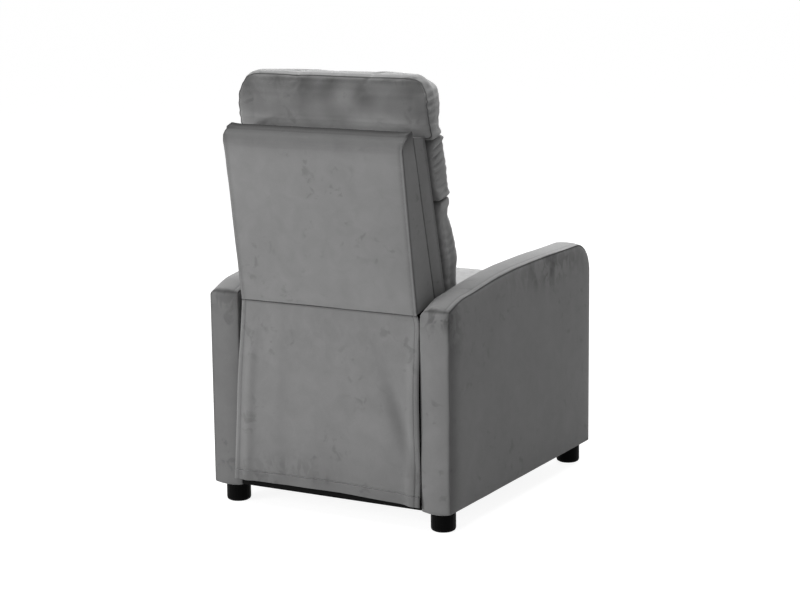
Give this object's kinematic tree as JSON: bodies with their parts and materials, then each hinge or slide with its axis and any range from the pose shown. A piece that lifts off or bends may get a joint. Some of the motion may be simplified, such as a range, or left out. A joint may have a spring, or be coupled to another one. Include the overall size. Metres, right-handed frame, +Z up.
{
  "type": "recliner armchair",
  "caption": "Compact push-back recliner with slab arms, wedge-shaped back, stuffed back sections, rear cloth flap, round feet and a footrest on scissor links.",
  "frame": {"origin": "on the floor under the middle of the object's box", "axes": "+Z up, the chair faces -Y, +X to the sitter's left"},
  "size_m": [0.61, 0.7826, 0.9936],
  "materials": {
    "velvet": "short crushed pile",
    "wood": "raw board",
    "black_plastic": "satin",
    "black_paint": "satin",
    "plated_steel": "zinc plated",
    "webbing": "woven"
  },
  "bodies": {
    "base": {"left_arm_frame": "wood", "left_arm_cover": "velvet", "left_base_plate": "black_paint", "foot_front_left": "black_plastic", "foot_rear_left": "black_plastic", "right_arm_frame": "wood", "right_arm_cover": "velvet", "right_base_plate": "black_paint", "foot_front_right": "black_plastic", "foot_rear_right": "black_plastic", "front_rail": "black_paint", "rear_rail": "black_paint", "rear_flap": "velvet"},
    "rear_swing": {"left_rear_swing_link": "plated_steel", "right_rear_swing_link": "plated_steel"},
    "front_swing": {"left_front_swing_link": "plated_steel", "right_front_swing_link": "plated_steel"},
    "seat": {"left_seat_plate": "plated_steel", "right_seat_plate": "plated_steel", "seat_left_rail": "wood", "seat_right_rail": "wood", "seat_front_rail": "velvet", "seat_rear_rail": "wood", "seat_spring_1": "plated_steel", "seat_spring_2": "plated_steel", "seat_spring_3": "plated_steel", "seat_cushion": "velvet"},
    "back": {"left_back_stile": "wood", "right_back_stile": "wood", "back_left_side_pad": "velvet", "back_right_side_pad": "velvet", "left_back_bracket": "plated_steel", "right_back_bracket": "plated_steel", "back_low_rail": "wood", "back_top_rail": "wood", "back_rear_panel": "velvet", "back_top_pad": "velvet", "back_strap_1": "webbing", "back_strap_2": "webbing", "back_strap_3": "webbing", "back_strap_4": "webbing", "back_foam": "velvet", "lumbar_cushion": "velvet", "upper_back_cushion": "velvet", "head_cushion": "velvet"},
    "drive": {"left_drive_link": "plated_steel", "right_drive_link": "plated_steel", "drive_tube": "black_paint"},
    "scissor": {"left_scissor_link": "plated_steel", "right_scissor_link": "plated_steel"},
    "carry": {"left_carry_link": "plated_steel", "right_carry_link": "plated_steel"},
    "tilt": {"left_tilt_link": "plated_steel", "right_tilt_link": "plated_steel"},
    "footrest": {"left_footrest_bracket": "plated_steel", "right_footrest_bracket": "plated_steel", "footrest_board": "wood", "footrest_pad": "velvet"}
  },
  "joints": [
    {"name": "rear_swing", "type": "hinge", "parent": "base", "child": "rear_swing", "pos_m": [0, 0.1062, 0.17013], "axis": [1, 0, 0], "range_deg": [0, 38]},
    {"name": "front_swing", "type": "hinge", "parent": "base", "child": "front_swing", "pos_m": [0, -0.1283, 0.17013], "axis": [1, 0, 0], "range_deg": [0, 38]},
    {"name": "seat_level", "type": "hinge", "parent": "rear_swing", "child": "seat", "pos_m": [0, 0.13527, 0.25], "axis": [-1, 0, 0], "range_deg": [0, 38]},
    {"name": "back_recline", "type": "hinge", "parent": "seat", "child": "back", "pos_m": [0, 0.23527, 0.36], "axis": [-1, 0, 0], "range_deg": [0, 38], "deforming": ["rear_flap"]},
    {"name": "footrest_unfold", "type": "hinge", "parent": "seat", "child": "drive", "pos_m": [0, -0.06923, 0.24], "axis": [-1, 0, 0], "range_deg": [0, 88]},
    {"name": "scissor_turn", "type": "hinge", "parent": "seat", "child": "scissor", "pos_m": [0, -0.13745, 0.27782], "axis": [-1, 0, 0], "range_deg": [0, 88]},
    {"name": "carry_turn", "type": "hinge", "parent": "drive", "child": "carry", "pos_m": [0, -0.03493, 0.07861], "axis": [1, 0, 0], "range_deg": [0, 88]},
    {"name": "tilt_turn", "type": "hinge", "parent": "scissor", "child": "tilt", "pos_m": [0, -0.09483, 0.07729], "axis": [1, 0, 0], "range_deg": [0, 88]},
    {"name": "footrest_turn", "type": "hinge", "parent": "carry", "child": "footrest", "pos_m": [0, -0.30963, 0.23088], "axis": [-1, 0, 0], "range_deg": [0, 88]}
  ],
  "couplings": [
    {"joint": "rear_swing", "follows": "back_recline", "ratio": 1},
    {"joint": "front_swing", "follows": "back_recline", "ratio": 1},
    {"joint": "seat_level", "follows": "back_recline", "ratio": 1},
    {"joint": "scissor_turn", "follows": "footrest_unfold", "ratio": 1},
    {"joint": "carry_turn", "follows": "footrest_unfold", "ratio": 1},
    {"joint": "tilt_turn", "follows": "footrest_unfold", "ratio": 1},
    {"joint": "footrest_turn", "follows": "footrest_unfold", "ratio": 1}
  ]
}
